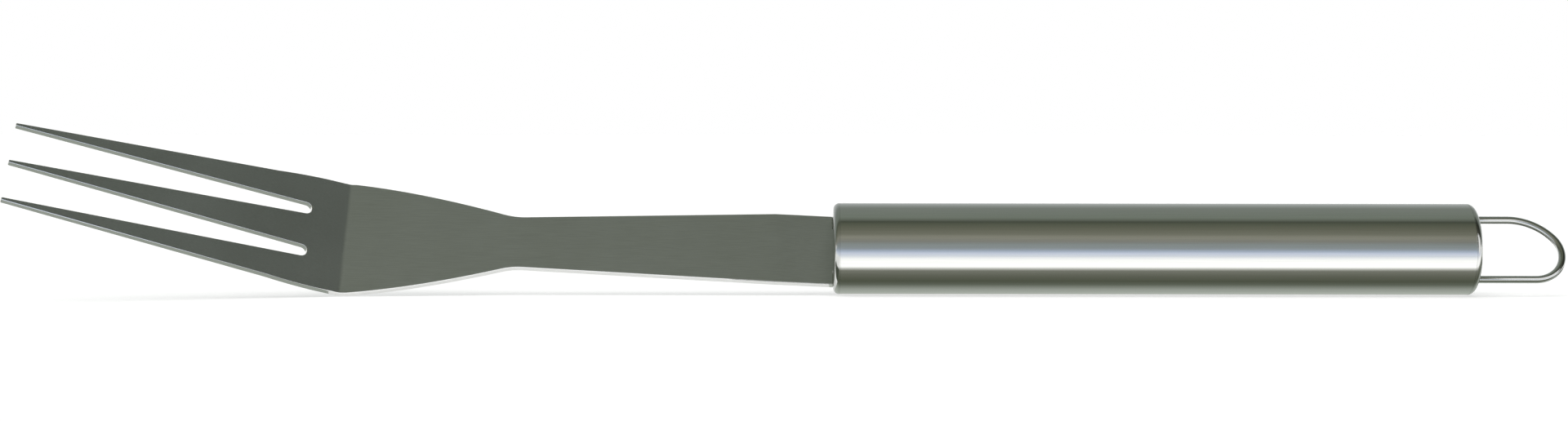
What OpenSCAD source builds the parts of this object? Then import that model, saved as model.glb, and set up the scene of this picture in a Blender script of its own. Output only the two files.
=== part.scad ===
// Barbecue fork: a bent sheet steel blade with three tines, a round hollow handle closed by two
// pressed caps, and a wire loop to hang it by.
// It lies as it comes to rest: rolled about its round handle until the near corner of the head
// touches the ground. +X runs from the tines to the loop. The origin is at the middle of its foot.

/* [Handle] */
// Outside diameter of the handle
handle_d = 25; // [22:0.5:28]
// Length of the handle between the flat ends of its caps
handle_l = 175; // [130:1:220]
// Wall of the handle's tube
tube_wall = 0.8; // [0.6:0.1:1.2]
// Thickness of the caps' sheet
cap_wall = 0.8; // [0.6:0.1:1.2]
// Radius of the rounded shoulder at each end of the handle
shoulder_r = 1.8; // [1:0.1:3]
// How far each cap's skirt reaches into the tube
skirt_l = 6; // [3:0.5:12]
// Play between a cap's skirt and the tube
skirt_play = 0.1; // [0.05:0.05:0.2]

/* [Blade] */
// Thickness of the blade's sheet
sheet_t = 1.8; // [1.2:0.1:2.5]
// Width of the blade where it meets the handle
heel_w = 22; // [18:0.5:22]
// Length of the heel, the stretch of even width next to the handle
heel_l = 14; // [8:0.5:20]
// Rise of the heel from the handle's axis
heel_angle = 5; // [0.5:0.5:8]
// Length of the shank, from the heel to the neck
shank_l = 71.4; // [50:0.1:100]
// Rise of the shank and the head from the handle's axis
shank_angle = 2.2; // [0:0.1:4]
// Width of the neck
neck_w = 16; // [12:0.1:20]
// Length of the head, from the neck to the bend
head_l = 45; // [30:0.5:60]
// Width of the head at the bend
head_w = 35; // [31:0.1:42]
// How far the blade's upper face lies under the handle's axis at the handle
face_drop = 0.7; // [0:0.1:2]
// Width of the tang inside the handle
tang_w = 14; // [8:0.5:16]
// Length of the tang inside the handle
tang_l = 24; // [10:1:50]
// Play between the tang and its slot in the cap
tang_play = 0.1; // [0.05:0.05:0.2]

/* [Tines] */
// Angle that the tines are bent up from the head
tine_angle = 22.3; // [5:0.1:40]
// Inside radius of that bend
bend_r = 3; // [1:0.5:8]
// Length of the tines from the bend to their tips
tine_l = 89.8; // [60:0.1:110]
// Distance from the bend to the closed ends of the slots
slot_start = 9.4; // [5:0.1:15]
// Width of each slot at its closed end
slot_w = 3.4; // [2:0.1:5]
// Width of the middle tine at its root
middle_w = 10.1; // [7:0.1:12]
// Distance between the middles of the outer tips
tip_spread = 23.3; // [16:0.1:30]
// Width of each tip
tip_w = 0.8; // [0.5:0.1:2]
// Distance from the bend to where the outer edges run straight
brow_l = 19.2; // [14:0.1:28]
// How much narrower the blade is at that place than at the bend
brow_taper = 1.7; // [0.2:0.1:5]

/* [Loop] */
// Thickness of the loop's wire
wire_d = 2; // [1.5:0.1:2.5]
// How far the middle of the wire reaches beyond the cap
loop_l = 24.2; // [20:0.1:40]
// Difference between the radii of the loop's two bends
bend_diff = 6.5; // [1:0.5:10]
// Length of each leg inside the handle
leg_in = 9; // [4:0.5:20]
// Play between the wire and its hole in the cap
wire_play = 0.05; // [0.02:0.01:0.1]
// Space between a leg and the cap's skirt
leg_gap = 0.2; // [0.1:0.05:1]

/* [Hidden] */
$fn = 96;

// Small overshoot of a cutting shape
cut = 1;
// Height of the blocks that cut the sheet's outline
block_h = 30;
// Mean radii of the two gentle bends at the heel's ends
heel_r = 12;
knee_r = 20;
// Pull of the flare's curve, as shares of the head's length and of its growth in width
flare_pull = [0.56, 0.785];
// Reach of the neck's soft corner along the shank, and its share of the flare's curve
neck_soft = 3;
neck_share = 0.06;
// How far the outlines would pass the strip's own edges beside the bend, where those edges take over
edge_over = 0.1;
// Place of the brow's pull point along the tines, as a share of the brow's length
brow_pull = 0.6;
// Steps along a curve of an outline, round a half circle and round a bend
curve_n = 10;
round_n = 12;
bend_n = 6;
// Turn of the wire's wider bend, as in a triangle of sides 3, 4 and 5
turn_cos = 0.6;
turn_sin = 0.8;

handle_r = handle_d / 2;
tube_r = handle_r - tube_wall;
skirt_r = tube_r - skirt_play;
skirt_in = skirt_r - cap_wall;
leg_y = skirt_in - wire_d / 2 - leg_gap;

// Directions in the fork's own side view, for a stretch of sheet that rises by an angle
function along(a) = [-cos(a), 0, sin(a)];
function upward(a) = [sin(a), 0, cos(a)];
// Middle of the sheet after a flat stretch, and after a bend of mean radius r from angle a to b
function after_flat(p, a, l) = p + l * along(a);
function after_bend(p, a, b, r) = p + sign(b - a) * r * (upward(a) - upward(b));

tine_rise = shank_angle + tine_angle;
tine_bend_r = bend_r + sheet_t / 2;
// Middle of the sheet at the start of the heel bend, the heel, the knee bend and so on
p_handle = [0, 0, -face_drop - sheet_t / 2];
p_heel = after_bend(p_handle, 0, heel_angle, heel_r);
p_knee = after_flat(p_heel, heel_angle, heel_l);
p_shank = after_bend(p_knee, heel_angle, shank_angle, knee_r);
p_neck = after_flat(p_shank, shank_angle, shank_l);
p_bend = after_flat(p_neck, shank_angle, head_l);
p_tine = after_bend(p_bend, shank_angle, tine_rise, tine_bend_r);
p_tip = after_flat(p_tine, tine_rise, tine_l);

// Roll that sets the head's near lower corner on the same ground as the handle
corner_y = head_w / 2;
corner_z = (p_bend - sheet_t / 2 * upward(shank_angle))[2];
rest_roll = asin(handle_r / norm([corner_y, corner_z])) + atan2(corner_z, corner_y);

// Middle of the fork's foot along X and Y, from its ends, its round back and its lower outer tip
tip_r = tip_w / 2;
low_x = (p_tip - sheet_t / 2 * upward(tine_rise))[0];
high_x = handle_l + loop_l + wire_d / 2;
near_tip = p_tip - tip_r * along(tine_rise) + sheet_t / 2 * upward(tine_rise) - [0, tip_spread / 2, 0];
tip_pull = norm([cos(rest_roll), sin(rest_roll) * sin(tine_rise)]);
near_y = near_tip[1] * cos(rest_roll) - near_tip[2] * sin(rest_roll) - tip_r * tip_pull;
foot_x = (low_x + high_x) / 2;
foot_y = (near_y + handle_r) / 2;

// Slots: the round end's middle, and the straight sides that run from it to the tips
slot_r = slot_w / 2;
slot_x = slot_start + slot_r;
slot_in = middle_w / 2;
slot_out = slot_in + slot_w;

// Points of a curve pulled from a to c by b, and of an arc
function pulled(a, b, c, from = 0, n = curve_n) =
    [for (i = [0 : n]) let (t = from + (1 - from) * i / n) (1 - t) * (1 - t) * a + 2 * t * (1 - t) * b + t * t * c];
function arc(centre, r, from, to, n = round_n) =
    [for (i = [0 : n]) let (a = from + (to - from) * i / n) centre + r * [cos(a), sin(a)]];
function mirrored(points) = [for (i = [len(points) - 1 : -1 : 0]) [points[i][0], -points[i][1]]];
function without_first(points) = [for (i = [1 : len(points) - 1]) points[i]];

// Upper edge from the handle to the bend: the heel, a taper to the neck, a soft corner and a flare
heel_end = [-p_shank[0], heel_w / 2];
neck_corner = [-p_neck[0], neck_w / 2];
flare_end = [-p_bend[0], head_w / 2 + edge_over];
flare_knob = neck_corner + [for (i = [0, 1]) flare_pull[i] * (flare_end - neck_corner)[i]];
flare = pulled(neck_corner, flare_knob, flare_end, neck_share);
before_neck = neck_corner + neck_soft / shank_l * (heel_end - neck_corner);
neck_curve = pulled(before_neck, neck_corner, flare[0], 0, curve_n / 2);
shank_edge = concat([[0, heel_w / 2], heel_end], neck_curve, without_first(flare));

// Upper edge of the tines' outline: the brow's curve, then straight to the outer tip
brow_end = [brow_l, (head_w - brow_taper) / 2];
brow_start = [0, head_w / 2 + edge_over];
brow_knob = [brow_pull * brow_l, head_w / 2 + edge_over / 2];
tip_x = tine_l - tip_r;
outer_tip = arc([tip_x, tip_spread / 2], tip_r, 90, -90);
middle_tip = arc([tip_x, 0], tip_r, 90, 0);
slot_round = arc([slot_x, slot_in + slot_r], slot_r, 90, 270);
tine_edge = concat(pulled(brow_start, brow_knob, brow_end), outer_tip, slot_round, middle_tip);

// Side view of the sheet: its middle line with the rise at each point, thickened to both sides
function bend_line(p, a, b, r) =
    [for (i = [0 : bend_n]) let (rise = a + (b - a) * i / bend_n) [after_bend(p, a, rise, r), rise]];
middle_line = concat(
    [[p_handle + [tang_l, 0, 0], 0]],
    bend_line(p_handle, 0, heel_angle, heel_r),
    bend_line(p_knee, heel_angle, shank_angle, knee_r),
    bend_line(p_bend, shank_angle, tine_rise, tine_bend_r),
    [[after_flat(p_tip, tine_rise, cut), tine_rise]]);
function face_of(side) = [for (m = middle_line) m[0] + side * sheet_t / 2 * upward(m[1])];
function in_side_view(points) = [for (p = points) [p[0], p[2]]];
function backwards(points) = [for (i = [len(points) - 1 : -1 : 0]) points[i]];

module bent_strip(w) {
    translate([0, w / 2, 0]) rotate([90, 0, 0]) linear_extrude(w)
        polygon(concat(in_side_view(face_of(1)), backwards(in_side_view(face_of(-1)))));
}

// A block square to a stretch of the sheet, from a 2D shape in that stretch's own length and width
module through_sheet(start, rise) {
    translate(start) rotate([0, rise, 0]) rotate([0, 0, 180])
        translate([0, 0, -block_h / 2]) linear_extrude(block_h) children();
}

module band(from, to, w) {
    translate([from, -w / 2]) square([to - from, w]);
}

// What is cut away beside an outline that runs between two places along the sheet
module beside(from, to) {
    difference() {
        band(from, to, head_w + 2 * cut);
        children();
    }
}

// The blade: one bent strip, cut to the outlines of its tang, heel, shank, head and tines
module blade_sheet() {
    difference() {
        bent_strip(head_w);
        through_sheet([0, 0, 0], 0) beside(-tang_l - cut, flare_end[0]) {
            band(-tang_l - 2 * cut, cut, tang_w);
            polygon(concat(shank_edge, mirrored(shank_edge)));
        }
        through_sheet(p_tine, tine_rise) beside(0, tine_l + 2 * cut)
            polygon(concat(tine_edge, without_first(mirrored(tine_edge))));
    }
}

// A pressed cap on the YZ plane, opening toward +X, with its flat face at x = 0
module cap_shell() {
    rotate([0, 90, 0]) rotate_extrude() difference() {
        union() {
            square([handle_r - shoulder_r, shoulder_r]);
            intersection() {
                translate([handle_r - shoulder_r, shoulder_r]) circle(shoulder_r);
                square([handle_r, shoulder_r]);
            }
            square([skirt_r, shoulder_r + skirt_l]);
        }
        translate([0, cap_wall]) square([skirt_in, shoulder_r + skirt_l]);
    }
}

module wire(l) {
    rotate([0, 90, 0]) cylinder(h = l, d = wire_d);
}

// A bend of the wire in the XY plane
module wire_bend(centre, r, from, turn) {
    translate(centre) rotate_extrude(angle = turn, start = from) translate([r, 0]) circle(d = wire_d);
}

// Sets a piece from the fork's own frame down on the ground, as it comes to rest
module laid_down() {
    translate([-foot_x, -foot_y, handle_r]) rotate([rest_roll, 0, 0]) children();
}

module fork_blade() {
    color("#6b716b") laid_down() blade_sheet();
}

module handle_tube() {
    color("#b4b8b6") laid_down() translate([shoulder_r, 0, 0]) rotate([0, 90, 0]) difference() {
        cylinder(h = handle_l - 2 * shoulder_r, r = handle_r);
        translate([0, 0, -cut]) cylinder(h = handle_l - 2 * shoulder_r + 2 * cut, r = tube_r);
    }
}

module front_cap() {
    slot = [cap_wall + 2 * cut, tang_w + 2 * tang_play, sheet_t + 2 * tang_play];
    color("#a7aba9") laid_down() difference() {
        cap_shell();
        translate([-cut, -slot[1] / 2, p_handle[2] - slot[2] / 2]) cube(slot);
    }
}

module rear_cap() {
    color("#a7aba9") laid_down() translate([handle_l, 0, 0]) difference() {
        mirror([1, 0, 0]) cap_shell();
        for (side = [-1, 1]) translate([-cap_wall - cut, side * leg_y, 0])
            rotate([0, 90, 0]) cylinder(h = cap_wall + 2 * cut, r = wire_d / 2 + wire_play);
    }
}

// The wire leaves one hole, turns by a wide and then a tighter bend, and enters the other hole
module hanging_loop() {
    r1 = leg_y + turn_sin * bend_diff;
    r2 = r1 - bend_diff;
    turn1 = acos(turn_cos);
    x2 = handle_l + loop_l - r2;
    x1 = x2 - turn_sin * bend_diff;
    start_x = handle_l - leg_in;
    color("#c3c6c4") laid_down() {
        translate([start_x, leg_y, 0]) wire(x1 - start_x);
        wire_bend([x1, leg_y - r1, 0], r1, 90 - turn1, turn1);
        wire_bend([x2, r2 - leg_y, 0], r2, -90, 180 - turn1);
        translate([start_x, -leg_y, 0]) wire(x2 - start_x);
    }
}

fork_blade();
handle_tube();
front_cap();
rear_cap();
hanging_loop();
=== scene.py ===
"""Looks of a long stainless barbecue fork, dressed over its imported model.

The blade, the handle's tube, its two pressed caps and the hanging wire are new surfaces worked out with
numpy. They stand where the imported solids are, with rounded edges and true normals.
Lengths are in millimetres until a mesh is written, which is in metres.
"""

import logging
import math
from dataclasses import dataclass
from enum import Enum

import bpy
import numpy as np
from bpy.types import Material, Node, NodeSocket, NodeTree, Object
from mathutils import Matrix, Vector


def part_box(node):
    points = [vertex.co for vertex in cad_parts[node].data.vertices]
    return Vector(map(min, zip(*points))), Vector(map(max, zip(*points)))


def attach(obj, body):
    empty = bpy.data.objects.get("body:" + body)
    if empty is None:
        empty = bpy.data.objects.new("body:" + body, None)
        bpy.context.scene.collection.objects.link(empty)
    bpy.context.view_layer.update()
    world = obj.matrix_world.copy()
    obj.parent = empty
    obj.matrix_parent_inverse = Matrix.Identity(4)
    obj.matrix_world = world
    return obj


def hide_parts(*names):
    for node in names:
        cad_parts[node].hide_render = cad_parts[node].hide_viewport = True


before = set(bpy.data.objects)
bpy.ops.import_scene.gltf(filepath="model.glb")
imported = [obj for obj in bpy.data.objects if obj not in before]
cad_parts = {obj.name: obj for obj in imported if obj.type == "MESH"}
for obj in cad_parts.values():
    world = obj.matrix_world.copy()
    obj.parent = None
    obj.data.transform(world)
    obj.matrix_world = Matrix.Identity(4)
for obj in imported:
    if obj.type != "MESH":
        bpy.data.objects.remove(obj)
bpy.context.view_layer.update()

MM = 0.001
BODY = "root"
WHITE = (1.0, 1.0, 1.0, 1.0)
# The most by which rounding parts two equal numbers
TINY = 1e-9

LOG = logging.getLogger("barbecue_fork")


def linear(code: str) -> tuple[float, float, float, float]:
    """Turns an sRGB hex colour into linear light with an alpha of 1, by the standard's own curve."""
    parts = [int(code[i:i + 2], 16) / 255 for i in (1, 3, 5)]
    turned = [c / 12.92 if c <= 0.04045 else ((c + 0.055) / 1.055) ** 2.4 for c in parts]
    return (*turned, 1.0)


def add_node(tree: NodeTree, kind: str, values: dict | None = None, links: dict | None = None,
             **settings: object) -> Node:
    """Adds one node, sets it up and links it.

    Args:
        tree: The node tree that the node joins.
        kind: The node's type name in Blender, after "ShaderNode".
        values: Values for input sockets, by name or number.
        links: What feeds the input sockets, by name or number: an output, or a node for its first output.
        **settings: Properties of the node itself, such as operation.

    Returns:
        The new node.
    """
    node = tree.nodes.new("ShaderNode" + kind)
    for name, value in settings.items():
        setattr(node, name, value)
    for name, value in (values or {}).items():
        node.inputs[name].default_value = value
    for name, source in (links or {}).items():
        output = source.outputs[0] if isinstance(source, Node) else source
        tree.links.new(output, node.inputs[name])
    return node


def add_ramp(tree: NodeTree, source: Node | NodeSocket,
             stops: list[tuple[float, tuple[float, float, float, float]]]) -> NodeSocket:
    """Adds a colour ramp with stops, each a place from 0 to 1 and a colour, and gives its colour output."""
    ramp = add_node(tree, "ValToRGB", links={"Fac": source})
    band = ramp.color_ramp
    while len(band.elements) < len(stops):
        band.elements.new(0.5)
    for element, (place, colour) in zip(band.elements, stops):
        element.position = place
        element.color = colour
    return ramp.outputs["Color"]


def blank_material(name: str) -> Material:
    """Makes a material with an empty node tree."""
    material = bpy.data.materials.new(name)
    material.use_nodes = True
    material.node_tree.nodes.clear()
    return material


def add_object(name: str, points: list, faces: list, *materials: Material) -> Object:
    """Adds a mesh object at the origin. Its points are in metres, and its materials keep their order."""
    mesh = bpy.data.meshes.new(name)
    mesh.from_pydata(points, [], faces)
    for material in materials:
        mesh.materials.append(material)
    item = bpy.data.objects.new(name, mesh)
    bpy.context.scene.collection.objects.link(item)
    return item


class Slot(Enum):
    """The record's material slots."""

    BLADE = "satin_blade"
    HANDLE = "brushed_handle"
    CAP = "polished_cap"
    WIRE = "bright_wire"


# Cloudy patches that handling leaves, about 22 mm across
CLOUDS_PER_METRE = 45.0
# The middle stretch of a noise's values, where nearly all of them lie
NOISE_LOW, NOISE_HIGH = 0.3, 0.7


@dataclass(frozen=True)
class SteelFinish:
    """A finish of bare stainless steel, with its own colour, gloss and grinding marks.

    Attributes:
        colour: The metal's reflection colour, as an sRGB hex code.
        roughness_swing: How far the roughness wanders across cloudy patches.
        mark_mm: Spacing of the grinding marks.
        mark_length_mm: Length of a mark.
        mark_depth_mm: Depth of the marks in the bump.
        tint_swing: How far the colour wanders between marks, as a share of it.
        metallic: Share of the light that is mirrored. The rest is the even haze of a ground surface.
        goes_round: Whether the marks go round the handle. Otherwise they run along the fork.
    """

    name: str
    colour: str
    roughness: float
    roughness_swing: float
    mark_mm: float
    mark_length_mm: float
    mark_depth_mm: float
    tint_swing: float
    metallic: float = 1.0
    goes_round: bool = False

    def scale(self) -> tuple[float, float, float]:
        """Noise periods per metre along and across the marks, in the row frame."""
        along, across = 1 / (self.mark_length_mm * MM), 1 / (self.mark_mm * MM)
        return (across, along, along) if self.goes_round else (along, across, across)

    def build(self) -> Material:
        """Makes the node material.

        Stretched noise in Object coordinates gives the grinding marks. A slow noise gives the cloudy patches.
        Both feed the roughness, and the marks also feed the bump and the colour.
        """
        material = blank_material(self.name)
        tree = material.node_tree
        place = add_node(tree, "TexCoord").outputs["Object"]
        stretched = add_node(tree, "Mapping", {"Scale": self.scale()}, {"Vector": place})
        marks = add_node(tree, "TexNoise", {"Scale": 1.0, "Detail": 3.0, "Roughness": 0.6},
                         {"Vector": stretched}).outputs["Fac"]
        clouds = add_node(tree, "TexNoise", {"Scale": CLOUDS_PER_METRE, "Detail": 2.0},
                          {"Vector": place}).outputs["Fac"]
        mixed = add_node(tree, "Math", {1: 0.5}, {0: marks}, operation="MULTIPLY")
        mixed = add_node(tree, "Math", {1: 0.5}, {0: clouds, 2: mixed}, operation="MULTIPLY_ADD")
        rough = add_node(tree, "MapRange", {
            "From Min": NOISE_LOW, "From Max": NOISE_HIGH,
            "To Min": self.roughness - self.roughness_swing, "To Max": self.roughness + self.roughness_swing,
        }, {"Value": mixed})
        dim, lit = ((*(min(1.0, c * tint) for c in linear(self.colour)[:3]), 1.0)
                    for tint in (1 - self.tint_swing, 1 + self.tint_swing))
        colour = add_ramp(tree, marks, [(NOISE_LOW, dim), (NOISE_HIGH, lit)])
        bump = add_node(tree, "Bump", {"Strength": 1.0, "Distance": self.mark_depth_mm * MM},
                        {"Height": marks})
        shader = add_node(tree, "BsdfPrincipled", {"Metallic": self.metallic}, {
            "Base Color": colour, "Roughness": rough, "Normal": bump,
        })
        add_node(tree, "OutputMaterial", links={"Surface": shader})
        return material


# Real grinding and drawing marks lie under 0.1 mm apart, too fine for the render. All of those below are
# drawn two to five times as far apart, so that they show.

# Ground stainless sheet: fine marks along the fork, and a soft satin sheen with no sharp reflection
SATIN_SHEET = SteelFinish(
    "satin_ground_stainless", "#d3d7d4", roughness=0.42, roughness_swing=0.05, mark_mm=0.25,
    mark_length_mm=14.0, mark_depth_mm=0.0012, tint_swing=0.06, metallic=0.95)
# Stamped and tumbled edge of the sheet: a brighter and smoother line than its faces, where the smoothness is
# real and the lighter colour is a painted highlight
TUMBLED_EDGE_AND_SHEEN = SteelFinish(
    "tumbled_stainless_edge_and_sheen", "#f0f0ee", roughness=0.24, roughness_swing=0.05, mark_mm=0.35,
    mark_length_mm=3.0, mark_depth_mm=0.0010, tint_swing=0.04)
# Belt polished stainless tube: near mirror, in long bands, with a faint lengthwise grain
POLISHED_TUBE = SteelFinish(
    "belt_polished_stainless_tube", "#dddedb", roughness=0.10, roughness_swing=0.02, mark_mm=0.30,
    mark_length_mm=22.0, mark_depth_mm=0.0003, tint_swing=0.03)
# Pressed and polished stainless cap: a little softer than the tube, with faint marks round it
POLISHED_CAP = SteelFinish(
    "polished_stainless_cap", "#d6d7d4", roughness=0.16, roughness_swing=0.03, mark_mm=0.18,
    mark_length_mm=9.0, mark_depth_mm=0.0003, tint_swing=0.03, goes_round=True)
# Bright drawn stainless wire: sharp light and dark lines, with long faint die lines
DRAWN_WIRE = SteelFinish(
    "bright_drawn_stainless_wire", "#dcdddb", roughness=0.15, roughness_swing=0.03, mark_mm=0.30,
    mark_length_mm=6.0, mark_depth_mm=0.0004, tint_swing=0.03)


@dataclass
class Patch:
    """Part of a surface as arrays, in the fork's own frame and in millimetres.

    Attributes:
        points: Vertex places, one row each.
        normals: Unit normals at the vertices.
        faces: Four vertex numbers a face.
        finish: Number of the finish on these faces, or one number for each face.
    """

    points: np.ndarray
    normals: np.ndarray
    faces: np.ndarray
    finish: int | np.ndarray = 0

    def mirrored(self, length: float) -> "Patch":
        """The same surface mirrored end for end on the handle. Joining turns its faces outward again."""
        flip = np.array([-1, 1, 1])
        return Patch(self.points * flip + [length, 0, 0], self.normals * flip, self.faces, self.finish)


def grid_faces(rows: int, columns: int, round_rows: bool = False, round_columns: bool = False) -> np.ndarray:
    """Numbers the quads of a grid whose vertices are stored row by row.

    A grid that is round in its rows joins the last row to the first, and the same goes for its columns.
    """
    row = np.arange(rows if round_rows else rows - 1)
    column = np.arange(columns if round_columns else columns - 1)
    i, j = [a.ravel() for a in np.meshgrid(row, column, indexing="ij")]
    i2, j2 = (i + 1) % rows, (j + 1) % columns
    return np.stack([i * columns + j, i * columns + j2, i2 * columns + j2, i2 * columns + j], axis=1)


def joined(patches: list[Patch], weld_mm: float = 1e-4) -> Patch:
    """Joins patches into one surface, whose finish is one number for each face.

    Points that agree to weld_mm are welded, unused ones are dropped, and faces are turned to match the
    normals.
    """
    start = np.cumsum([0] + [len(p.points) for p in patches[:-1]])
    points = np.concatenate([p.points for p in patches])
    normals = np.concatenate([p.normals for p in patches])
    faces = np.concatenate([p.faces + s for p, s in zip(patches, start)])
    finish = np.concatenate([np.full(len(p.faces), p.finish) for p in patches])
    keys = np.round(points / weld_mm).astype(np.int64)
    _, first, same = np.unique(keys, axis=0, return_index=True, return_inverse=True)
    used, faces = np.unique(same.reshape(-1)[faces], return_inverse=True)
    faces = faces.reshape(-1, 4)
    points, normals = points[first][used], normals[first][used]
    one, two = points[faces[:, 2]] - points[faces[:, 0]], points[faces[:, 3]] - points[faces[:, 1]]
    inward = (np.cross(one, two) * normals[faces].sum(axis=1)).sum(axis=1) < 0
    faces[inward] = faces[inward][:, ::-1]
    return Patch(points, normals, faces, finish)


def spun(section: np.ndarray, angle: np.ndarray) -> Patch:
    """Spins one stretch of a section about the handle's axis: point = (x, r cos a, r sin a).

    Each row of the section is a point: x, radius, and the normal's shares along x and outward. The angles
    rise, and go once round.
    """
    x, r, n_x, n_r = [np.broadcast_to(c[:, None], (len(section), len(angle))) for c in section.T]
    points = np.stack([x, r * np.cos(angle), r * np.sin(angle)], axis=-1).reshape(-1, 3)
    normals = np.stack([n_x, n_r * np.cos(angle), n_r * np.sin(angle)], axis=-1).reshape(-1, 3)
    return Patch(points, normals, grid_faces(len(section), len(angle), round_columns=True))


@dataclass(frozen=True)
class Rest:
    """How the fork lies: rolled about its handle, with the middle of its foot at the row's origin.

    Attributes:
        roll: Roll about the handle's axis, in radians.
        shift: Place of the fork's own origin in the row frame, in millimetres.
    """

    roll: float
    shift: np.ndarray

    @classmethod
    def of_frame(cls, roll: float) -> "Rest":
        """Takes the handle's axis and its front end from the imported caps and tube."""
        low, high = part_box("handle_tube")
        front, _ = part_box("front_cap")
        middle = (low + high) / 2
        return cls(roll, np.array([front.x, middle.y, middle.z]) / MM)

    def turn(self, vectors: np.ndarray) -> np.ndarray:
        """Turns directions from the fork's own frame into the row frame."""
        c, s = math.cos(self.roll), math.sin(self.roll)
        return vectors @ np.array([[1, 0, 0], [0, c, s], [0, -s, c]])

    def place(self, points: np.ndarray) -> np.ndarray:
        """Moves points from the fork's own frame into the row frame, in millimetres."""
        return self.turn(points) + self.shift


def add_piece(name: str, patch: Patch, rest: Rest, finishes: list[SteelFinish], slot: Slot,
              *nodes: str) -> None:
    """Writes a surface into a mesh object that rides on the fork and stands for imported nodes.

    The surface is in the fork's own frame. Its finish numbers say which of the finishes each face has.
    """
    points = rest.place(patch.points) * MM
    normals = rest.turn(patch.normals)
    count = len(patch.faces)
    materials = [bpy.data.materials.get(f.name) or f.build() for f in finishes]
    piece = add_object(name, points.tolist(), patch.faces.tolist(), *materials)
    mesh = piece.data
    mesh.polygons.foreach_set("use_smooth", np.ones(count, dtype=bool))
    mesh.polygons.foreach_set("material_index", np.broadcast_to(patch.finish, count).astype(np.int32))
    mesh.validate()
    mesh.normals_split_custom_set_from_vertices(normals.tolist())
    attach(piece, BODY)
    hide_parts(*nodes)
    LOG.info("%s: %d points, %d faces", name, len(patch.points), count)


def pulled(a: np.ndarray, b: np.ndarray, c: np.ndarray, t: np.ndarray) -> np.ndarray:
    """Points of the curve that runs from a to c and is pulled by b: (1-t)^2 a + 2t(1-t) b + t^2 c."""
    t = t[:, None]
    return (1 - t) ** 2 * a + 2 * t * (1 - t) * b + t ** 2 * c


def eased(count: int) -> np.ndarray:
    """Shares from 0 to 1 spaced like the shadow of a half circle: (1 - cos(pi k / n)) / 2."""
    return (1 - np.cos(np.pi * np.arange(count + 1) / count)) / 2


def full_turn(count: int) -> np.ndarray:
    """Even steps round a full turn, from 0."""
    return np.arange(count) * 2 * np.pi / count


def quarter(count: int) -> tuple[np.ndarray, np.ndarray]:
    """Sines and cosines of even steps through a quarter turn."""
    angle = np.linspace(0, np.pi / 2, count)
    return np.sin(angle), np.cos(angle)


@dataclass(frozen=True)
class Opening:
    """A hole in a cap's face. Lengths in millimetres.

    Attributes:
        centre: Its middle, as y and z from the handle's axis.
        half: Half of its width and of its height.
        is_round: Whether it is round. Otherwise it has four corners.
    """

    centre: tuple[float, float]
    half: tuple[float, float]
    is_round: bool = True

    def edge(self, toward: np.ndarray, grow: float = 0.0) -> tuple[np.ndarray, np.ndarray]:
        """Finds the hole's edge on the straight lines from its middle to other points.

        Args:
            toward: The other points, as y and z.
            grow: How much larger than the hole the edge is, on every side.

        Returns:
            Points of the edge, and the unit directions from them into the hole.
        """
        centre, half = np.array(self.centre), np.array(self.half) + grow
        way = toward - centre
        if self.is_round:
            way = way / np.hypot(*way.T)[:, None]
            return centre + half * way, -way
        share = np.abs(way) / half
        most = share.max(axis=1, keepdims=True)
        inward = -np.sign(way) * (share > most * (1 - TINY))
        return centre + way / most, inward / np.hypot(*inward.T)[:, None]


# Numbers of some of the sheet's stretches, counted from the cap: the shank's runs on through the head
HEEL, SHANK, BEND, TINES = 1, 3, 4, 5


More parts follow.
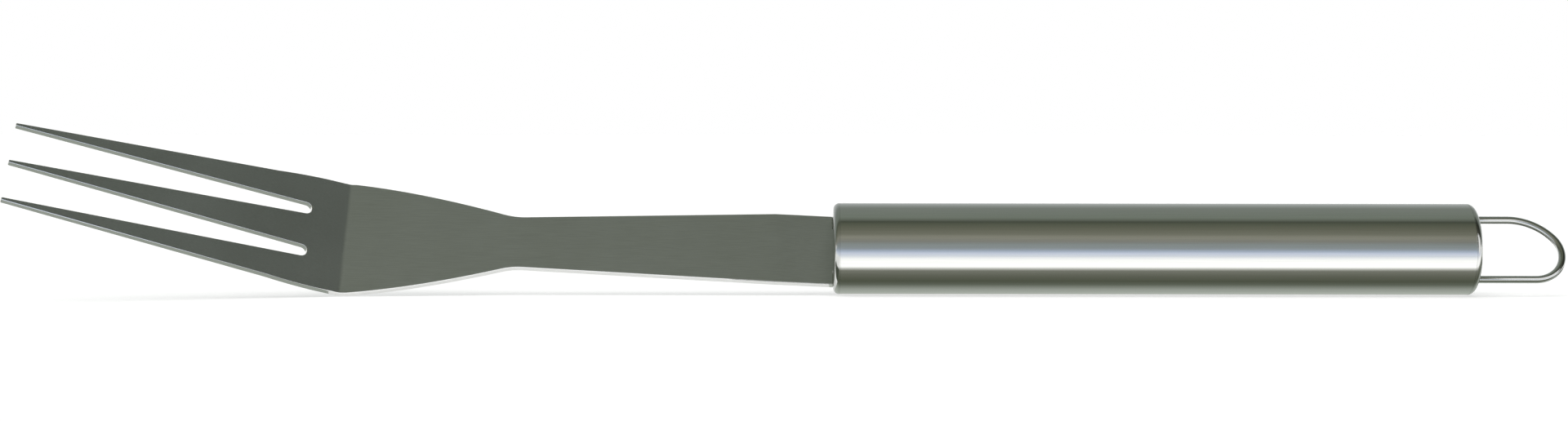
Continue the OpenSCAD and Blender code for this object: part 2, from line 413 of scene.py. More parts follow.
@dataclass(frozen=True)
class Blade:
    """The bent sheet blade with its three tines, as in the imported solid. Lengths in millimetres."""

    # Thickness, and the widths, lengths and rises of the heel, the shank, the neck and the head
    sheet_t: float = 1.8
    heel_w: float = 22.0
    heel_l: float = 14.0
    heel_angle: float = 5.0
    shank_l: float = 71.4
    shank_angle: float = 2.2
    neck_w: float = 16.0
    head_l: float = 45.0
    head_w: float = 35.0
    # How far the sheet's upper face starts under the handle's axis
    face_drop: float = 0.7
    # The tang inside the handle, and its play in the cap's slot
    tang_w: float = 14.0
    tang_l: float = 24.0
    tang_play: float = 0.1
    # How much the tines rise over the shank, and the inside radius of that bend
    tine_angle: float = 22.3
    bend_r: float = 3.0
    # Length of the tines from the bend, start and width of the slots, and width of the middle tine there
    tine_l: float = 89.8
    slot_start: float = 9.4
    slot_w: float = 3.4
    middle_w: float = 10.1
    # Distance between the middles of the two outer tips, and width of each tip
    tip_spread: float = 23.3
    tip_w: float = 0.8
    # Length of the brow's curve, and how much narrower the blade is at its end
    brow_l: float = 19.2
    brow_taper: float = 1.7
    # Radii of the middle line's slight bends, at the heel's two ends
    heel_r: float = 12.0
    knee_r: float = 20.0
    # Where the flare's curve is pulled to, as shares of its length and of what it widens by
    flare_pull: tuple[float, float] = (0.56, 0.785)
    # How much of the shank and what share of the flare's curve the neck's softened corner takes
    neck_soft: float = 3.0
    neck_share: float = 0.06
    # How far the curves of the flare and the brow reach past the head's straight side, where they are cut
    edge_over: float = 0.1
    # Where the brow's curve is pulled to, as a share of its length
    brow_pull: float = 0.6
    # Rounding that tumbling leaves on the sheet's edges
    edge_r: float = 0.24
    # Rounding steps along that edge
    edge_steps: int = 6
    # Share of the stretch before the slots that bows with their round ends, and length that bows at the tips
    slot_reach: float = 0.85
    tip_reach: float = 1.5
    # Cells across half the middle tine, a slot and an outer tine, and the line of cells at the tang's edge
    middle_cells: int = 5
    slot_cells: int = 14
    outer_cells: int = 10
    tang_line: int = 4
    # Rows of points along the tang, the heel and the bends at its ends, the shank, the neck's corner, the
    # flare, the bend, the tines' roots and the tines, and the points of the brow's curve
    tang_rows: int = 6
    heel_rows: tuple[int, int, int] = (4, 9, 5)
    shank_rows: int = 34
    corner_rows: int = 7
    flare_rows: int = 40
    bend_rows: int = 13
    root_rows: int = 16
    tine_rows: int = 84
    brow_points: int = 60

    @property
    def root_u(self) -> float:
        """How far past the bend the middles of the slots' half circles lie."""
        return self.slot_start + self.slot_w / 2

    @property
    def tip_u(self) -> float:
        """How far past the bend the middles of the tips' half circles lie."""
        return self.tine_l - self.tip_w / 2

    @property
    def lines(self) -> tuple[int, int, int, int]:
        """The grid's columns, from the middle, at a slot's two sides, the tang's edge and the outer edge."""
        outer = self.middle_cells + self.slot_cells
        return self.middle_cells, outer, outer + self.tang_line, outer + self.outer_cells

    @property
    def numbers(self) -> np.ndarray:
        """Number of each of the grid's columns, counted from the middle."""
        return np.abs(np.arange(-self.lines[-1], self.lines[-1] + 1))

    def bends(self) -> tuple[np.ndarray, np.ndarray, np.ndarray]:
        """Lists the flat and bent stretches of the sheet's middle line from the handle to the tips.

        Returns:
            The run at the start of each stretch and after the last, the rise there in radians, and the start
            of each stretch in the side view, as x and z.
        """
        runs, rises, starts = [0.0], [0.0], [np.array([0.0, -self.face_drop - self.sheet_t / 2])]
        for angle, radius, flat in (
            (self.heel_angle, self.heel_r, self.heel_l),
            (self.shank_angle, self.knee_r, self.shank_l + self.head_l),
            (self.shank_angle + self.tine_angle, self.bend_r + self.sheet_t / 2, self.tine_l),
        ):
            a, b = rises[-1], math.radians(angle)
            change = np.array([math.sin(a) - math.sin(b), math.cos(a) - math.cos(b)])
            runs.append(runs[-1] + radius * abs(b - a))
            starts.append(starts[-1] + np.sign(b - a) * radius * change)
            runs.append(runs[-1] + flat)
            starts.append(starts[-1] + flat * np.array([-math.cos(b), math.sin(b)]))
            rises += [b, b]
        return np.array(runs), np.array(rises), np.array(starts)

    def middle(self, run: np.ndarray) -> tuple[np.ndarray, np.ndarray]:
        """Follows the sheet's middle line: straight on flats, and round an arc where the rise changes evenly.

        A run is the distance along that line from the handle's cap, less than zero inside the handle. For
        each run there is a point in the side view, as x and z, and the rise in radians.
        """
        runs, rises, starts = self.bends()
        rise = np.interp(run, runs, rises)
        k = np.clip(np.searchsorted(runs, run, side="right") - 1, 0, len(runs) - 2)
        a, s = rises[k], run - runs[k]
        turn = rise - a
        flat = np.abs(turn) < TINY
        radius = s / np.where(flat, 1.0, turn)
        bent = np.stack([np.sin(a) - np.sin(rise), np.cos(a) - np.cos(rise)], axis=-1) * radius[..., None]
        straight = np.stack([-np.cos(a), np.sin(a)], axis=-1) * s[..., None]
        return starts[k] + np.where(flat[..., None], straight, bent), rise

    def outline(self) -> tuple[np.ndarray, np.ndarray, int, int, int]:
        """Half width of the blade at each row of the grid, from the tang's end to the tips.

        The heel is even, the shank tapers straight to a softened corner at the neck, the flare is a pulled
        curve, and past the bend the brow's curve leads into the tines' straight taper.

        Returns:
            Runs, half widths, and the numbers of the rows at the cap, at the slots' roots and at the bend.
        """
        runs, rises, starts = self.bends()
        lean = math.cos(rises[SHANK])
        heel_x, bend_x = -starts[SHANK][0], -starts[BEND][0]
        neck = np.array([heel_x + self.shank_l * lean, self.neck_w / 2])
        heel_end = np.array([heel_x, self.heel_w / 2])
        flare_end = np.array([bend_x, self.head_w / 2 + self.edge_over])
        knob = neck + np.array(self.flare_pull) * (flare_end - neck)
        leave = neck + self.neck_soft / self.shank_l * (heel_end - neck)
        meet = pulled(neck, knob, flare_end, np.array([self.neck_share]))[0]
        shank = heel_end + np.linspace(0, 1, self.shank_rows)[1:, None] * (leave - heel_end)
        corner = pulled(leave, neck, meet, np.linspace(0, 1, self.corner_rows)[1:])
        flare = pulled(neck, knob, flare_end, np.linspace(self.neck_share, 1, self.flare_rows)[1:])
        shaped = np.concatenate([shank, corner, flare])
        shaped_run = runs[SHANK] + (shaped[:, 0] - heel_x) / lean
        tang_run = np.linspace(-self.tang_l + self.edge_r, self.edge_r, self.tang_rows)
        heel_ends = [self.edge_r, *runs[HEEL:SHANK + 1]]
        heel_run = np.concatenate([np.linspace(a, b, n)[1:]
                                   for a, b, n in zip(heel_ends, heel_ends[1:], self.heel_rows)])
        bend_run = np.linspace(runs[BEND], runs[TINES], self.bend_rows)[1:]
        before_u = np.linspace(0, self.root_u, self.root_rows)[1:]
        tine_u = self.root_u + eased(self.tine_rows)[1:] * (self.tip_u - self.root_u)
        u = np.concatenate([before_u, tine_u])
        brow = pulled(np.array([0, self.head_w / 2 + self.edge_over]),
                      np.array([self.brow_pull * self.brow_l, (self.head_w + self.edge_over) / 2]),
                      np.array([self.brow_l, (self.head_w - self.brow_taper) / 2]),
                      np.linspace(0, 1, self.brow_points))
        path = np.vstack([brow, [self.tip_u, (self.tip_spread + self.tip_w) / 2]])
        run = np.concatenate([tang_run, heel_run, shaped_run, bend_run, runs[TINES] + u])
        half = np.concatenate([np.full(len(tang_run) + len(heel_run), self.heel_w / 2), shaped[:, 1],
                               np.full(len(bend_run), self.head_w / 2), np.interp(u, path[:, 0], path[:, 1])])
        half = np.minimum(half, self.head_w / 2)
        cap_row = len(tang_run) - 1
        root_row = len(run) - len(tine_u) - 1
        bend_row = len(run) - len(u) - 1
        return run, half, cap_row, root_row, bend_row

    def grid(self, run: np.ndarray, half: np.ndarray, cap_row: int, root_row: int,
             bend_row: int) -> tuple[np.ndarray, np.ndarray]:
        """Places the vertices of the outline's rows on the flat sheet, by run and by distance to the side.

        Rows run across the sheet and columns along it. The columns follow the edges of the three tines, and
        before the slots they close up in proportion to the width. Rows near a slot's root or a tip are drawn
        out to its half circle. The grid stops short of the outline by the edge's rounding.
        """
        runs, _, _ = self.bends()
        r_e, slot_r, tip_r = self.edge_r, self.slot_w / 2, self.tip_w / 2
        root_u, tip_u, u = self.root_u, self.tip_u, run - runs[TINES]
        share = np.clip((u - root_u) / (tip_u - root_u), 0, 1)
        inner_root, outer_root = self.middle_w / 2, self.middle_w / 2 + self.slot_w
        closing = np.where(np.arange(len(run)) < root_row, half / half[root_row], 1.0)
        inner = closing * inner_root + share * (tip_r - inner_root) - r_e
        outer = closing * outer_root + share * (self.tip_spread / 2 - tip_r - outer_root) + r_e
        edge = half - r_e * np.hypot(1, np.gradient(half, run))
        tang_share = eased(self.outer_cells)[self.tang_line]
        heel_outer = (self.tang_w / 2 - r_e - tang_share * edge[0]) / (1 - tang_share)
        to_heel = np.clip((run[bend_row] - run) / (run[bend_row] - run[cap_row]), 0, 1)
        outer = outer + to_heel * (heel_outer - outer)
        inner, outer, edge = inner[:, None], outer[:, None], edge[:, None]
        right = np.concatenate([
            inner * np.sin(np.pi / 2 * np.arange(self.middle_cells + 1) / self.middle_cells),
            inner + (outer - inner) * eased(self.slot_cells)[1:],
            outer + (edge - outer) * eased(self.outer_cells)[1:],
        ], axis=1)
        y = np.concatenate([-right[:, :0:-1], right], axis=1)

        # Rows drawn back to the slots' half circles, and forward to the tips' half circles
        k_inner, k_outer, _, _ = self.lines
        number = self.numbers
        slot_mid = np.sign(y) * (inner + outer) / 2
        slot_bow = np.sqrt(np.clip((slot_r + r_e) ** 2 - (y - slot_mid) ** 2, 0, None))
        fade = np.clip(1 - (root_u - u) / (self.slot_reach * root_u), 0, 1)
        fade = (fade ** 2 * (3 - 2 * fade))[:, None]
        tip_mid = np.where(number > k_inner, np.sign(y) * (outer + edge) / 2, 0.0)
        tip_bow = np.sqrt(np.clip((tip_r - r_e) ** 2 - (y - tip_mid) ** 2, 0, None))
        near_tip = np.clip(1 - (tip_u - u) / self.tip_reach, 0, 1)[:, None]
        in_slot = (number > k_inner) & (number < k_outer)
        return run[:, None] + np.where(in_slot, -fade * slot_bow, near_tip * tip_bow), y

    def sheet(self) -> Patch:
        """Works out the whole blade: two faces on one grid, and a rounded edge all round them.

        The faces have finish 0, and the edge has 1. The grid's cells hold no metal beside the tang, and none
        in the slots.
        """
        run, half, cap_row, root_row, bend_row = self.outline()
        run_at, y = (a.ravel() for a in self.grid(run, half, cap_row, root_row, bend_row))
        k_inner, k_outer, k_tang, _ = self.lines
        row = np.arange(len(run) - 1)[:, None]
        number = np.maximum(self.numbers[:-1], self.numbers[1:])
        metal = (row >= cap_row) | (number <= k_tang)
        metal &= (row < root_row) | (number <= k_inner) | (number > k_outer)
        faces = grid_faces(len(run), len(self.numbers))[metal.ravel()]
        half_t = np.full(len(y), self.sheet_t / 2)
        sides = [Patch(*self.laid(run_at, y, way * half_t, 0, 0, way), faces) for way in (1, -1)]
        loop = self.boundary(len(run), cap_row, root_row)
        return joined([*sides, self.rounded_edge(run_at[loop], y[loop])])

    def rounded_edge(self, run: np.ndarray, y: np.ndarray) -> Patch:
        """Carries a quarter circle, the wall and another quarter circle along the outline, once round."""
        step_run = np.roll(run, -1) - np.roll(run, 1)
        step_y = np.roll(y, -1) - np.roll(y, 1)
        length = np.hypot(step_run, step_y)
        out_run, out_y = (step_y / length)[:, None], (-step_run / length)[:, None]
        bow = np.linspace(0, np.pi / 2, self.edge_steps)
        turn = np.concatenate([bow, np.pi - bow[::-1]])
        reach = self.edge_r * np.sin(turn)
        wall = self.sheet_t / 2 - self.edge_r
        height = np.repeat([wall, -wall], len(bow)) + self.edge_r * np.cos(turn)
        ring = [a.ravel() for a in np.broadcast_arrays(
            run[:, None] + out_run * reach, y[:, None] + out_y * reach, height,
            out_run * np.sin(turn), out_y * np.sin(turn), np.cos(turn))]
        return Patch(*self.laid(*ring), grid_faces(len(run), len(turn), round_rows=True), 1)

    def boundary(self, rows: int, cap_row: int, root_row: int) -> np.ndarray:
        """Numbers the grid's vertices along its outline in order, once round."""
        last = rows - 1
        k_inner, k_outer, k_tang, k_edge = self.lines
        right = [(k_tang, 0), (k_tang, cap_row), (k_edge, cap_row), (k_edge, last), (k_outer, last),
                 (k_outer, root_row), (k_inner, root_row), (k_inner, last)]
        corners = [(-column, row) for column, row in right] + right[::-1]
        loop = []
        for (column, row), (column_2, row_2) in zip(corners, corners[1:] + corners[:1]):
            step = np.arange(abs(column_2 - column) + abs(row_2 - row))
            loop.append((row + np.sign(row_2 - row) * step) * len(self.numbers)
                        + k_edge + column + np.sign(column_2 - column) * step)
        return np.concatenate(loop)

    def laid(self, run: np.ndarray, y: np.ndarray, height: np.ndarray, n_run: np.ndarray, n_y: np.ndarray,
             n_up: np.ndarray) -> tuple[np.ndarray, np.ndarray]:
        """Carries points of the flat sheet on to the bent one: the middle line's point plus height times up.

        A point has its run, its distance to the side and its height over the middle of the sheet, and its
        normal has a share each way. The results are points and normals in the fork's own frame.
        """
        line, rise = self.middle(run)
        ahead = np.stack([-np.cos(rise), np.zeros_like(rise), np.sin(rise)], axis=1)
        up = np.stack([np.sin(rise), np.zeros_like(rise), np.cos(rise)], axis=1)
        side = np.array([0.0, 1.0, 0.0])
        points = np.stack([line[:, 0], y, line[:, 1]], axis=1) + height[:, None] * up
        shares = [np.broadcast_to(n, rise.shape)[:, None] for n in (n_run, n_y, n_up)]
        return points, shares[0] * ahead + shares[1] * side + shares[2] * up

    def rest_roll(self, handle_r: float) -> float:
        """Roll that sets the head's near lower corner on the ground beside the handle, in radians."""
        _, rises, starts = self.bends()
        low = starts[BEND][1] - self.sheet_t / 2 * math.cos(rises[BEND])
        side = self.head_w / 2
        return math.asin(handle_r / math.hypot(side, low)) + math.atan2(low, side)

    def tang_slot(self) -> Opening:
        """The slot that the tang needs in the front cap."""
        return Opening((0.0, -self.face_drop - self.sheet_t / 2),
                       (self.tang_w / 2 + self.tang_play, self.sheet_t / 2 + self.tang_play), False)


@dataclass(frozen=True)
class Handle:
    """The round tube, and the sizes that its two caps share with it. Lengths in millimetres."""

    diameter: float = 25.0
    length: float = 175.0
    wall: float = 0.8
    shoulder: float = 1.8
    # Rounding of the tube's cut ends, which makes the fine seam at each cap
    seam_r: float = 0.1
    seam_steps: int = 5
    rows: int = 58
    segments: int = 256

    @property
    def radius(self) -> float:
        """Outside radius."""
        return self.diameter / 2

    def tube(self) -> Patch:
        """Spins the tube's section: its outside with the eased ends, its two cut ends and its bore."""
        r_out, r_in, s = self.radius, self.radius - self.wall, self.seam_r
        x0, x1 = self.shoulder, self.length - self.shoulder
        sine, cosine = quarter(self.seam_steps)
        lip = r_out - s + s * cosine
        front = np.stack([x0 + s - s * sine, lip, -sine, cosine], axis=1)
        back = np.stack([x1 - s + s * sine, lip, sine, cosine], axis=1)
        outer_x = np.linspace(x0 + s, x1 - s, self.rows + 2)[1:-1]
        outer = np.array([[x, r_out, 0, 1] for x in outer_x])
        outside = np.concatenate([front[::-1], outer, back])
        inside = np.array([[x1, r_in, 0, -1], [x0, r_in, 0, -1]])
        end_back = np.array([[x1, r_out - s, 1, 0], [x1, r_in, 1, 0]])
        end_front = np.array([[x0, r_in, -1, 0], [x0, r_out - s, -1, 0]])
        angle = full_turn(self.segments)
        return joined([spun(p, angle) for p in (outside, end_back, inside, end_front)])


# The most of the way from a hole to the face's outline that a softened rim takes
MOST_OF_FACE = 0.4


@dataclass(frozen=True)
class PressedCap:
    """A cap drawn from sheet, which closes one end of the tube. Lengths in millimetres.

    Attributes:
        handle: The tube that it closes.
        is_rear: Whether it closes the tube's rear end.
        openings: The holes in its face.
        wall: Thickness of its sheet.
        skirt_l: How far its skirt reaches into the tube.
        skirt_play: Play between the skirt and the tube.
        rim: Width of the softened rim round each hole.
        shoulder_steps: Points along the shoulder's quarter circle.
        parting_steps: Steps along the line that parts the face between two holes.
    """

    handle: Handle
    is_rear: bool
    openings: tuple[Opening, ...]
    wall: float = 0.8
    skirt_l: float = 6.0
    skirt_play: float = 0.1
    rim: float = 0.12
    shoulder_steps: int = 15
    parting_steps: int = 32

    @property
    def face_r(self) -> float:
        """Radius of the flat face, inside the shoulder."""
        return self.handle.radius - self.handle.shoulder

    @property
    def skirt_r(self) -> float:
        """Outside radius of the skirt."""
        return self.handle.radius - self.handle.wall - self.skirt_play

    def angles(self) -> np.ndarray:
        """Lists the angles round the axis, from 0 to a full turn in rising order.

        To the even steps come those where lines through a slot's corners meet the face's edge. A line from
        the middle c in the unit direction w leaves a circle of radius R at
        t = -c.w + sqrt((c.w)^2 - c.c + R^2).
        """
        angle = [full_turn(self.handle.segments)]
        for hole in self.openings:
            if not hole.is_round:
                c = np.array(hole.centre)
                w = np.array([[1, 1], [-1, 1], [-1, -1], [1, -1]]) * hole.half
                w = w / np.hypot(*w.T)[:, None]
                t = -w @ c + np.sqrt((w @ c) ** 2 - c @ c + self.face_r ** 2)
                y, z = (c + t[:, None] * w).T
                angle.append(np.arctan2(z, y) % (2 * np.pi))
        return np.sort(np.concatenate(angle))

    def wall_section(self) -> list[np.ndarray]:
        """Lists the section's stretches: the shoulder, the step under it, the skirt, its end and inside."""
        s, r, skirt = self.handle.shoulder, self.handle.radius, self.skirt_r
        end, inner = s + self.skirt_l, skirt - self.wall
        sine, cosine = quarter(self.shoulder_steps)
        return [
            np.stack([s - s * cosine, r - s + s * sine, -cosine, sine], axis=1),
            np.array([[s, r, 1, 0], [s, skirt, 1, 0]]),
            np.array([[s, skirt, 0, 1], [end, skirt, 0, 1]]),
            np.array([[end, skirt, 1, 0], [end, inner, 1, 0]]),
            np.array([[end, inner, 0, -1], [self.wall, inner, 0, -1]]),
        ]

    @staticmethod
    def between_rows(*rows: tuple[float, np.ndarray, np.ndarray, float]) -> Patch:
        """Lays a surface over closed rows of points, each square to the handle.

        Each row has its depth behind the cap's face, its points as y and z, its normals' parts in y and z,
        and their part outward.
        """
        points = [np.column_stack([np.full(len(p), deep), p]) for deep, p, _, _ in rows]
        normals = [np.column_stack([np.full(len(n), -out), n]) for _, _, n, out in rows]
        return Patch(np.concatenate(points), np.concatenate(normals),
                     grid_faces(len(rows), len(points[0]), round_columns=True))

    def holed(self, angle: np.ndarray) -> list[Patch]:
        """Fills the face round its holes, outside and inside, and lines the holes.

        Straight lines run from a hole's middle to the outline. The outline is the whole circle for one hole,
        and one half of the disc for each of two. Points between a hole and the outline lie on those lines.
        """
        circle = np.stack([np.cos(angle), np.sin(angle)], axis=1)
        across = np.linspace(-1, 1, self.parting_steps + 1)[1:-1]
        parting = np.stack([np.zeros_like(across), across], axis=1)
        slant = math.sqrt(0.5)
        patches = []
        for hole in self.openings:
            shape = circle
            if len(self.openings) > 1:
                shape = np.concatenate([circle[circle[:, 0] * np.sign(hole.centre[0]) > -TINY], parting])
            away = shape * self.face_r - hole.centre
            shape = shape[np.argsort(np.arctan2(away[:, 1], away[:, 0]))]
            outside, inside = shape * self.face_r, shape * (self.skirt_r - self.wall)
            edge, inward = hole.edge(outside)
            wide, _ = hole.edge(outside, self.rim)
            still, soft = np.zeros_like(edge), inward * slant
            for deep, outline, out in ((0.0, outside, 1), (self.wall, inside, -1)):
                share = np.hypot(*(wide - edge).T) / np.hypot(*(outline - edge).T)
                between = edge + np.minimum(MOST_OF_FACE, share)[:, None] * (outline - edge)
                patches.append(self.between_rows((deep, edge, soft, slant * out), (deep, between, still, out),
                                                 (deep, outline, still, out)))
            patches.append(self.between_rows((0.0, edge, soft, slant), (self.wall, edge, soft, -slant)))
        return patches

    def surface(self) -> Patch:
        """Works out the whole cap at the front end, and mirrors it if it closes the rear."""
        angle = self.angles()
        patches = [spun(s, angle) for s in self.wall_section()] + self.holed(angle)
        return joined([p.mirrored(self.handle.length) for p in patches] if self.is_rear else patches)


@dataclass(frozen=True)
class HangingLoop:
    """The bent wire that the fork hangs by. Lengths in millimetres."""

    wire_d: float = 2.0
    loop_l: float = 24.2
    bend_diff: float = 6.5
    leg_in: float = 9.0
    leg_y: float = 9.6
    wire_play: float = 0.05
    # Turn of the wider bend, as in a triangle of sides 3, 4 and 5
    turn_cos: float = 0.6
    turn_sin: float = 0.8
    # Easing of the wire's two ends
    end_r: float = 0.2
    end_steps: int = 7
    # Points along the first leg, the wide bend, the tight one and the second leg, and round the wire
    leg_rows: int = 12
    wide_rows: int = 28
    tight_rows: int = 56
    back_rows: int = 14
    segments: int = 32

    def holes(self) -> tuple[Opening, ...]:
        """The two holes that the wire needs in the rear cap."""
        half = self.wire_d / 2 + self.wire_play
        return tuple(Opening((side * self.leg_y, 0.0), (half, half)) for side in (1, -1))

    def line(self, handle_l: float) -> tuple[np.ndarray, np.ndarray]:
        """The wire's middle line in the plane of the loop: a leg, a wide arc, a tighter arc and a leg.

        Args:
            handle_l: Length of the handle between its flat ends.

        Returns:
            Points, and the unit directions of the wire there.
        """
        r1 = self.leg_y + self.turn_sin * self.bend_diff
        r2 = r1 - self.bend_diff
        x2 = handle_l + self.loop_l - r2
        x1 = x2 - self.turn_sin * self.bend_diff
        start = handle_l - self.leg_in
        turn = math.acos(self.turn_cos)
        wide = math.pi / 2 - np.linspace(0, turn, self.wide_rows)
        tight = math.pi / 2 - np.linspace(turn, math.pi, self.tight_rows)
        leg_x = np.linspace(start, x1, self.leg_rows)
        back_x = np.linspace(x2, start, self.back_rows)[1:]
        points = np.concatenate([
            np.stack([leg_x, np.full_like(leg_x, self.leg_y)], axis=1),
            np.stack([x1 + r1 * np.cos(wide), self.leg_y - r1 + r1 * np.sin(wide)], axis=1)[1:],
            np.stack([x2 + r2 * np.cos(tight), r2 - self.leg_y + r2 * np.sin(tight)], axis=1)[1:],
            np.stack([back_x, np.full_like(back_x, -self.leg_y)], axis=1),
        ])
        headings = np.concatenate([np.full_like(leg_x, math.pi / 2), wide[1:], tight[1:],
                                   np.full_like(back_x, -math.pi / 2)])
        flat = np.zeros(len(points))
        return np.column_stack([points, flat]), np.column_stack([np.sin(headings), -np.cos(headings), flat])

    def wire(self, handle_l: float) -> Patch:
        """Carries a circle along the wire's line: point = line + r (cos a side + sin a up).

        Rings that shrink by a quarter round ease each end. A ladder of quads across the last ring closes it.
        """
        points, heading = self.line(handle_l)
        bow = np.linspace(0, np.pi / 2, self.end_steps)[1:]
        row = np.pad(np.arange(len(points)), len(bow), mode="edge")
        lean = np.concatenate([-bow[::-1], np.zeros(len(points)), bow])[:, None]
        heading = heading[row]
        centre = points[row] + self.end_r * np.sin(lean) * heading
        size = self.wire_d / 2 - self.end_r * (1 - np.cos(lean))
        angle = full_turn(self.segments)[:, None]
        up = np.array([0.0, 0.0, 1.0])
        around = np.cos(angle) * np.cross(up, heading)[:, None] + np.sin(angle) * up
        surface = centre[:, None] + size[:, None] * around
        normals = np.cos(lean)[:, None] * around + np.sin(lean)[:, None] * heading[:, None]
        rung, last = np.arange(self.segments // 2 - 1), (len(centre) - 1) * self.segments
        ladder = np.stack([rung, rung + 1, self.segments - 2 - rung, self.segments - 1 - rung], axis=1)
        sides = grid_faces(len(centre), self.segments, round_columns=True)
        return joined([Patch(surface.reshape(-1, 3), normals.reshape(-1, 3),
                             np.concatenate([sides, ladder, ladder + last]))])


@dataclass(frozen=True)
class Panel:
    """One stretch of the studio as the handle mirrors it.

    Attributes:
        angle: Direction about the fork's length in degrees: 0 is level towards the camera, 90 is overhead.
        colour: What is seen there, as an sRGB hex code.
        gain: How many times brighter than its colour it is.
    """

    angle: float
    colour: str
    gain: float = 1.0

    def light(self) -> tuple[float, float, float, float]:
        """The panel's linear colour, with its gain."""
        return (*(c * self.gain for c in linear(self.colour)[:3]), 1.0)


@dataclass(frozen=True)
class Card:
    """A glowing card of painted reflections that only the steel mirrors: the camera doesn't see it, and it
    casts no shadow.

    Attributes:
        span: Its two ends along the fork, in metres.
        line: Its section: distance in front of the handle's axis and height over the floor, in metres.
        panels: What the handle mirrors in it, by angle. A single panel makes it plain.
    """

    name: str
    span: tuple[float, float]
    line: tuple[tuple[float, float], ...]
    panels: tuple[Panel, ...]


# Painted reflection of what stands low in front of the fork, from the bright card's upper edge over the
# horizon
HORIZON = (Panel(-13, "#eef4ff"), Panel(-8, "#e2eaff"), Panel(-3, "#bac7dc"), Panel(3, "#9da6ac"),
           Panel(10, "#949c9c"))
# Where the cards beside the handle and those beside the blade meet, at the front cap
MEETING_X = 0.0068


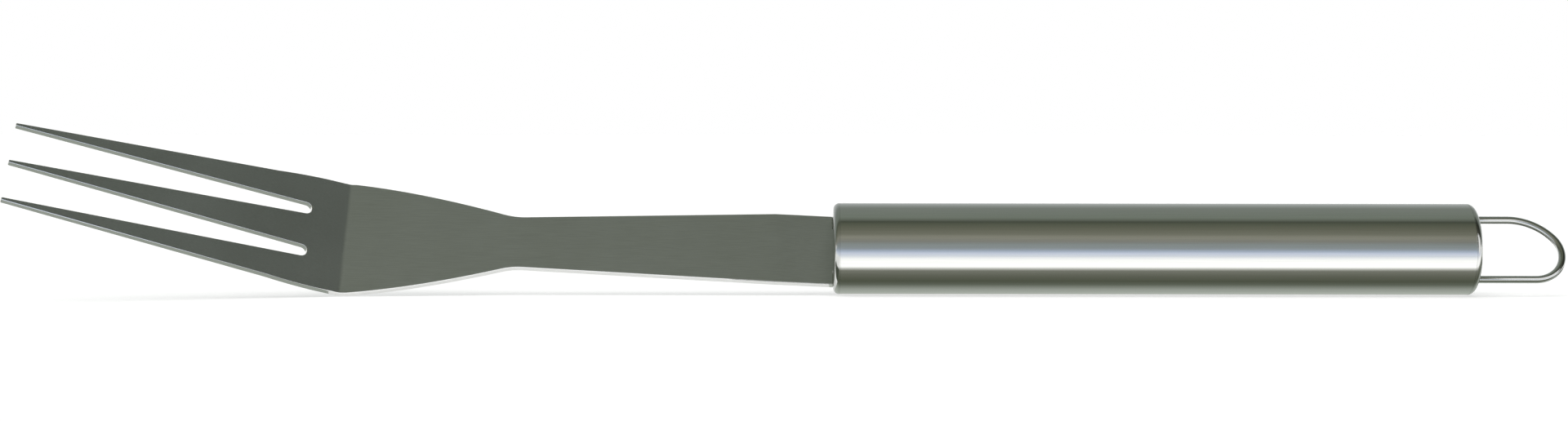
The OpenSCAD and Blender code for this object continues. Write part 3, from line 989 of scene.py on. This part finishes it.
@dataclass(frozen=True)
class Studio:
    """A plain white studio: floor, soft lamp, grey room overhead, and the camera at the photo's angle."""

    camera_at: tuple[float, float, float] = (-0.00387, -0.69397, 0.04461)
    camera_aim: tuple[float, float, float] = (-0.00554, 0.0, 0.02340)
    camera_roll: float = 0.075
    lens_mm: float = 59.465
    sensor_mm: float = 36.0
    clip: tuple[float, float] = (0.01, 200.0)
    floor_side: float = 60.0
    paper: str = "#b6b6b6"
    paper_glow: float = 0.60
    # The soft lamp: its strength, its width as an angle, and its turn about X and Y, in degrees
    lamp_strength: float = 2.4
    lamp_width: float = 70.0
    lamp_turn: tuple[float, float] = (12.0, -8.0)
    # White backdrop up to the first elevation all round, faded out at the second, as sines
    backdrop: tuple[float, float] = (0.07, 0.12)
    # The camera's side of the room is darker past the handle: where that starts and ends, as a direction's
    # part along the fork, its share of light, and where it has faded out, as a part away from the camera
    far_end: tuple[float, float, float] = (0.22, 0.44, 0.26)
    far_end_back: float = 0.2
    room: tuple[Panel, ...] = (
        Panel(0, "#a8b0b6"), Panel(14, "#949c9c"), Panel(21, "#8d8e88"), Panel(30, "#959589"),
        Panel(35, "#8f8f83"), Panel(39, "#808174"), Panel(56, "#6d6f61"), Panel(68, "#5e6355"),
        Panel(75, "#4e5348"), Panel(81, "#6c7268"), Panel(88, "#7d857b"), Panel(128, "#858b85"),
        Panel(150, "#a9aeac"), Panel(180, "#d4d6d6"),
    )
    cards: tuple[Card, ...] = (
        # In front of the handle a grey strip and a dark one, painted shade of the floor beside the handle as
        # the steel mirrors it, a white one, a painted highlight band, and a grey one up to the horizon
        Card("handle_card", (MEETING_X, 0.9), ((0.0005, 0.0003), (0.062, 0.0003), (0.90, 0.165)), (
            Panel(-86, "#c8ccc6"), Panel(-72, "#b8beb6"), Panel(-66, "#aab0a8"), Panel(-61, "#8e948a"),
            Panel(-57, "#6a7064"), Panel(-52, "#595e50"), Panel(-45, "#6a6d61"), Panel(-37, "#83857b"),
            Panel(-34, "#d0d1cb"), Panel(-31, "#ffffff", 1.45), Panel(-20, "#ffffff", 1.35), *HORIZON,
        )),
        # The painted white highlight band and the grey again to the left, where only the front cap's shoulder
        # mirrors them
        Card("cap_card", (-0.60, MEETING_X), ((0.045, 0.0003), (0.90, 0.165)),
             (Panel(-16, "#ffffff", 1.35), *HORIZON)),
        # A short dark strip beside the front cap, painted shade that its shoulder mirrors under the white
        Card("cap_shade_card", (-0.020, MEETING_X), ((0.0085, 0.0003), (0.018, 0.0003)), (Panel(0, "#4c5247"),)),
        # Grey cards of painted floor shade, seen only in reflection, which keep the lower edges of the tines
        # and of the loop's wire darker than the white floor
        Card("tine_shade_card", (-0.30, -0.128), ((0.042, 0.0003), (-0.08, 0.0003)), (Panel(0, "#999f97"),)),
        Card("loop_shade_card", (0.184, 0.26), ((0.0005, 0.0003), (-0.05, 0.0003)), (Panel(0, "#60645c"),)),
        # A glowing white card close to the loop, a painted highlight that gives its wire a bright middle line
        Card("loop_highlight_card", (0.199, 0.27), ((0.040, 0.008), (0.040, 0.045)), (Panel(0, "#ffffff"),)),
    )

    def camera(self) -> None:
        """Sets the camera where the photograph's perspective puts it."""
        data = bpy.data.cameras.new("camera")
        data.lens, data.sensor_width, data.sensor_fit = self.lens_mm, self.sensor_mm, "HORIZONTAL"
        data.clip_start, data.clip_end = self.clip
        item = bpy.data.objects.new("camera", data)
        look = Vector(self.camera_aim) - Vector(self.camera_at)
        roll = Matrix.Rotation(math.radians(self.camera_roll), 3, "Z")
        turn = look.to_track_quat("-Z", "Y").to_matrix() @ roll
        item.matrix_world = Matrix.Translation(self.camera_at) @ turn.to_4x4()
        bpy.context.scene.collection.objects.link(item)
        bpy.context.scene.camera = item

    @staticmethod
    def round_axis(tree: NodeTree, part: dict[str, NodeSocket], panels: tuple[Panel, ...]) -> NodeSocket:
        """Colours by a direction's angle about the fork's length, through panels by rising angle."""
        first, last = panels[0].angle, panels[-1].angle
        forward = add_node(tree, "Math", {1: -1.0}, {0: part["Y"]}, operation="MULTIPLY")
        angle = add_node(tree, "Math", links={0: part["Z"], 1: forward}, operation="ARCTAN2")
        share = add_node(tree, "MapRange",
                         {"From Min": math.radians(first), "From Max": math.radians(last)}, {"Value": angle})
        return add_ramp(tree, share, [((p.angle - first) / (last - first), p.light()) for p in panels])

    def world(self) -> None:
        """Paints the room: a white backdrop all round at the horizon, and grey walls and ceiling over it.

        Every kind of ray sees the same room, so the steel mirrors the backdrop that the camera sees.
        """
        world = bpy.data.worlds.new("studio_room")
        bpy.context.scene.world = world
        world.use_nodes = True
        tree = world.node_tree
        tree.nodes.clear()
        way = add_node(tree, "TexCoord").outputs["Generated"]
        part = add_node(tree, "SeparateXYZ", links={"Vector": way}).outputs
        colour = self.round_axis(tree, part, self.room)
        start, end, share = self.far_end
        near = add_node(tree, "MapRange", {"From Max": self.far_end_back, "To Min": share},
                        {"Value": part["Y"]}, interpolation_type="SMOOTHSTEP")
        dim = add_node(tree, "MapRange", {"From Min": start, "From Max": end, "To Min": 1.0},
                       {"Value": part["X"], "To Max": near}, interpolation_type="SMOOTHSTEP")
        room = add_node(tree, "VectorMath", links={0: colour, 1: dim}, operation="MULTIPLY")
        low, high = self.backdrop
        white = add_node(tree, "MapRange",
                         {"From Min": low, "From Max": high, "To Min": 1.0, "To Max": 0.0},
                         {"Value": part["Z"]}, interpolation_type="SMOOTHSTEP")
        seen = add_node(tree, "Mix", {"B": WHITE}, {"Factor": white, "A": room}, data_type="RGBA")
        back = add_node(tree, "Background", links={"Color": seen.outputs["Result"]})
        add_node(tree, "OutputWorld", links={"Surface": back})

    def floor(self) -> None:
        """Lays the white floor, which glows very slightly where it is seen, and keeps the fork's shadow."""
        material = blank_material("white_paper_floor")
        tree = material.node_tree
        paper = add_node(tree, "BsdfDiffuse", {"Color": linear(self.paper)})
        path = add_node(tree, "LightPath").outputs
        seen = path["Is Camera Ray"]
        for other in ("Is Glossy Ray", "Is Transmission Ray"):
            seen = add_node(tree, "Math", links={0: seen, 1: path[other]}, operation="MAXIMUM")
        strength = add_node(tree, "Math", {1: self.paper_glow}, {0: seen}, operation="MULTIPLY")
        glow = add_node(tree, "Emission", {"Color": WHITE}, {"Strength": strength})
        both = add_node(tree, "AddShader", links={0: paper, 1: glow})
        add_node(tree, "OutputMaterial", links={"Surface": both})
        half = self.floor_side / 2
        corners = [(-half, -half, 0), (half, -half, 0), (half, half, 0), (-half, half, 0)]
        add_object("floor", corners, [(0, 1, 2, 3)], material)

    def card(self, card: Card, axis_y: float, axis_z: float) -> None:
        """Lays a glowing card of painted reflections beside the fork, by the place of the handle's axis and
        its height in metres.
        """
        material = blank_material(f"{card.name}_glow")
        tree = material.node_tree
        glow = add_node(tree, "Emission", {"Color": card.panels[0].light()})
        if len(card.panels) > 1:
            place = add_node(tree, "TexCoord").outputs["Object"]
            way = add_node(tree, "VectorMath", {1: (0.0, axis_y, axis_z)}, {0: place},
                           operation="SUBTRACT")
            part = add_node(tree, "SeparateXYZ", links={"Vector": way}).outputs
            tree.links.new(self.round_axis(tree, part, card.panels), glow.inputs["Color"])
        add_node(tree, "OutputMaterial", links={"Surface": glow})
        points = [(x, axis_y - d, h) for d, h in card.line for x in card.span]
        item = add_object(card.name, points, grid_faces(len(card.line), 2).tolist(), material)
        item.visible_camera = item.visible_diffuse = item.visible_shadow = False
        item.visible_transmission = item.visible_volume_scatter = False

    def lamp(self) -> None:
        """Hangs a very wide soft lamp overhead, which the steel doesn't mirror."""
        data = bpy.data.lights.new("soft_daylight", "SUN")
        data.energy, data.angle = self.lamp_strength, math.radians(self.lamp_width)
        item = bpy.data.objects.new("soft_daylight", data)
        item.rotation_euler = (*map(math.radians, self.lamp_turn), 0)
        item.visible_glossy = False
        bpy.context.scene.collection.objects.link(item)

    def build(self, rest: Rest) -> None:
        """Makes the studio round a resting fork."""
        self.camera()
        self.world()
        self.floor()
        for card in self.cards:
            self.card(card, rest.shift[1] * MM, rest.shift[2] * MM)
        self.lamp()
        bpy.context.scene.view_settings.view_transform = "Standard"


def main() -> None:
    logging.basicConfig(level=logging.INFO, format="%(name)s: %(message)s")
    blade, handle, loop = Blade(), Handle(), HangingLoop()
    front, rear = PressedCap(handle, False, (blade.tang_slot(),)), PressedCap(handle, True, loop.holes())
    rest = Rest.of_frame(blade.rest_roll(handle.radius))
    for name, node, slot, surface, *finishes in (
        ("blade_of_bent_sheet", "fork_blade", Slot.BLADE, blade.sheet(), SATIN_SHEET, TUMBLED_EDGE_AND_SHEEN),
        ("handle_of_polished_tube", "handle_tube", Slot.HANDLE, handle.tube(), POLISHED_TUBE),
        ("front_cap_pressed", "front_cap", Slot.CAP, front.surface(), POLISHED_CAP),
        ("rear_cap_pressed", "rear_cap", Slot.CAP, rear.surface(), POLISHED_CAP),
        ("loop_of_drawn_wire", "hanging_loop", Slot.WIRE, loop.wire(handle.length), DRAWN_WIRE),
    ):
        add_piece(name, surface, rest, finishes, slot, node)
    Studio().build(rest)


if __name__ == "__main__":
    main()
